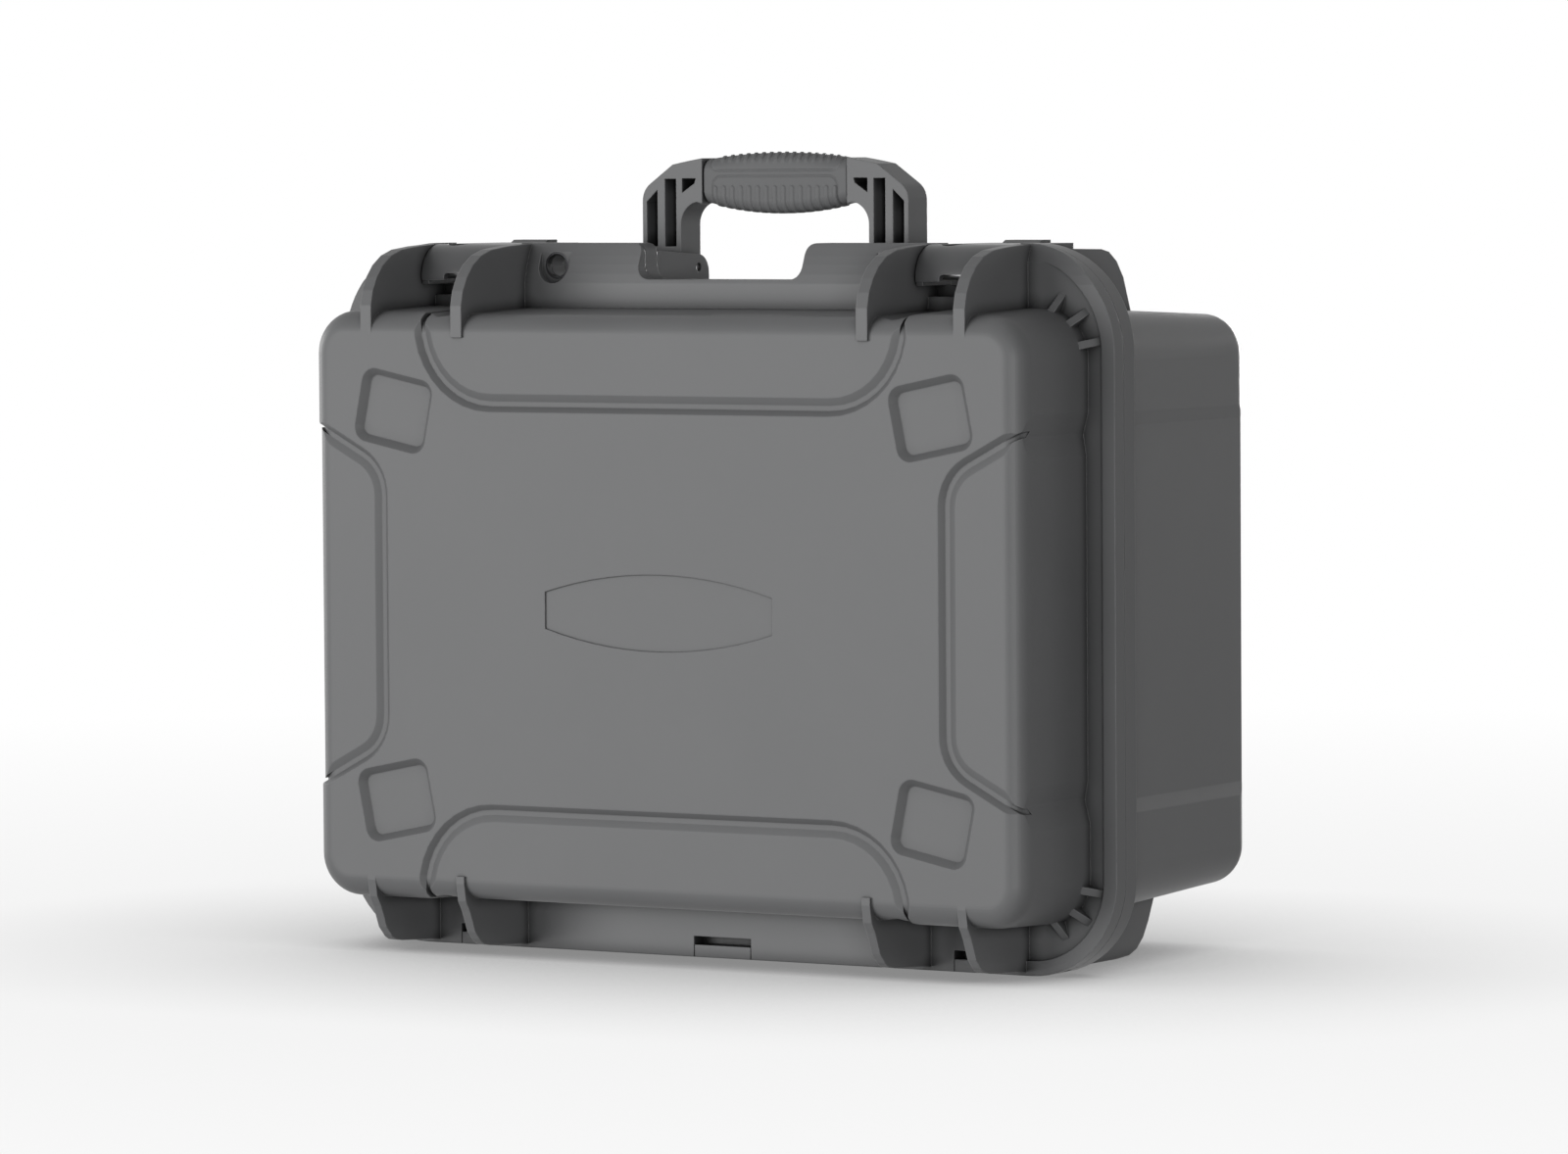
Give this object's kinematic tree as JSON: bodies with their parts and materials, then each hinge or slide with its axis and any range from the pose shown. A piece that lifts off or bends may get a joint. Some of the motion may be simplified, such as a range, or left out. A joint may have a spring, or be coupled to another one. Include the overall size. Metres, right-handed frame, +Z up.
{
  "type": "laptop hard case",
  "caption": "Hard plastic laptop case that stands on its long edge, with a hinged lid, over-centre latches, padlock holes, foam inside and a fold-back handle.",
  "frame": {"origin": "middle of the standing case's footprint, at the height of the lower flange edge it stands on", "axes": "+X to the right seen from the lid side, +Y from the lid toward the back of the base, +Z up toward the handle"},
  "size_m": [0.474, 0.249, 0.4215],
  "materials": {
    "shell": "fine spark-eroded texture",
    "latch": "satin",
    "soft_rubber": "matt",
    "foam": "open-cell foam",
    "steel": "brushed"
  },
  "bodies": {
    "base": {"base_shell": "shell", "base_foam_tray": "foam", "base_foam_floor": "foam", "handle_pin_left": "steel", "handle_pin_right": "steel", "latch_keeper_left": "steel", "latch_keeper_right": "steel", "hinge_pin_left": "steel", "hinge_pin_middle": "steel", "hinge_pin_right": "steel"},
    "lid": {"lid_shell": "shell", "lid_seal": "soft_rubber", "lid_foam": "foam", "latch_pin_left": "steel", "latch_pin_right": "steel", "padlock_eyelet_left": "steel", "padlock_eyelet_right": "steel"},
    "latch_left": {"latch_lever_left": "latch"},
    "latch_right": {"latch_lever_right": "latch"},
    "handle": {"handle_frame": "shell", "handle_grip": "soft_rubber"}
  },
  "joints": [
    {"name": "lid_hinge", "type": "hinge", "parent": "base", "child": "lid", "pos_m": [0, -0.0586, 0.0036], "axis": [1, 0, 0], "range_deg": [0, 105]},
    {"name": "latch_left_pivot", "type": "hinge", "parent": "lid", "child": "latch_left", "pos_m": [-0.1528, -0.068, 0.358], "axis": [1, 0, 0], "range_deg": [0, 100]},
    {"name": "latch_right_pivot", "type": "hinge", "parent": "lid", "child": "latch_right", "pos_m": [0.1528, -0.068, 0.358], "axis": [1, 0, 0], "range_deg": [0, 100]},
    {"name": "handle_fold", "type": "hinge", "parent": "base", "child": "handle", "pos_m": [0, 0.0015, 0.3605], "axis": [-1, 0, 0], "range_deg": [0, 90]}
  ]
}
